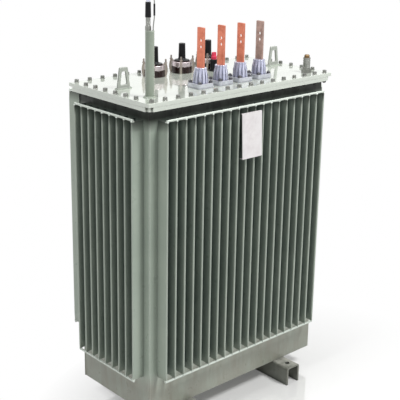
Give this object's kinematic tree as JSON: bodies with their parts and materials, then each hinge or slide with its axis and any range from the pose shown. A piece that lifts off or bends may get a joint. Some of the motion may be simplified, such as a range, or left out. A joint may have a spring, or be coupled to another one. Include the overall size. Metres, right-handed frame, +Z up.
{
  "type": "oil filled distribution transformer",
  "caption": "Oil-filled electrical transformer: finned steel tank on base channels, with a bolted cover that carries bushings, copper terminal flags, lifting lugs and a level gauge.",
  "frame": {"origin": "bottom centre of the part's box, on the floor under the base channels", "axes": "+Z up, X along the tank's long side, -Y towards the low voltage front"},
  "size_m": [1.047, 0.73, 1.804],
  "materials": {
    "tank_paint": "satin grey-green enamel",
    "cover_paint": "gloss grey-green enamel",
    "rod_paint": "satin grey-green enamel",
    "channel_paint": "satin grey-green enamel",
    "gasket_rubber": "matt black nitrile",
    "brown_glaze": "brown glaze",
    "ring_metal": "turned",
    "claw_metal": "zinc plated",
    "black_plastic": "satin black",
    "pale_glaze": "pale lilac-grey glaze",
    "clamp_metal": "cast",
    "copper": "bare rolled copper",
    "red_plastic": "gloss red",
    "plated_steel": "zinc plated",
    "plug_brass": "turned",
    "sight_glass": "clear",
    "plate_metal": "plain satin sheet, bare"
  },
  "bodies": {
    "root": {"back_fin_rods": "rod_paint", "back_wall": "tank_paint", "cover": "cover_paint", "cover_gasket": "gasket_rubber", "filler_pipe": "cover_paint", "front_fin_rods": "rod_paint", "front_wall": "tank_paint", "gauge_cap": "black_plastic", "gauge_sight_tube": "sight_glass", "gauge_sleeve": "black_plastic", "gauge_union": "plated_steel", "guard_rod": "plated_steel", "guard_sleeve": "black_plastic", "hv_claws_left": "claw_metal", "hv_claws_middle": "claw_metal", "hv_claws_right": "claw_metal", "hv_porcelain_left": "brown_glaze", "hv_porcelain_middle": "brown_glaze", "hv_porcelain_right": "brown_glaze", "hv_ring_left": "ring_metal", "hv_ring_middle": "ring_metal", "hv_ring_right": "ring_metal", "hv_stem_left": "black_plastic", "hv_stem_middle": "black_plastic", "hv_stem_right": "black_plastic", "left_base_channel": "channel_paint", "left_fin_rods": "rod_paint", "left_lifting_lug": "cover_paint", "left_wall": "tank_paint", "lv_clamp_1": "clamp_metal", "lv_clamp_2": "clamp_metal", "lv_clamp_3": "clamp_metal", "lv_clamp_4": "clamp_metal", "lv_flag_1": "copper", "lv_flag_2": "copper", "lv_flag_3": "copper", "lv_flag_4": "copper", "lv_porcelain_1": "pale_glaze", "lv_porcelain_2": "pale_glaze", "lv_porcelain_3": "pale_glaze", "lv_porcelain_4": "pale_glaze", "rating_plate": "plate_metal", "right_base_channel": "channel_paint", "right_fin_rods": "rod_paint", "right_lifting_lug": "cover_paint", "right_wall": "tank_paint", "tank_flange": "tank_paint", "tank_floor": "tank_paint", "tap_changer_body": "black_plastic", "tap_changer_knob": "red_plastic", "thermometer_plug": "plug_brass", "thermometer_pocket": "plated_steel"}
  },
  "joints": []
}
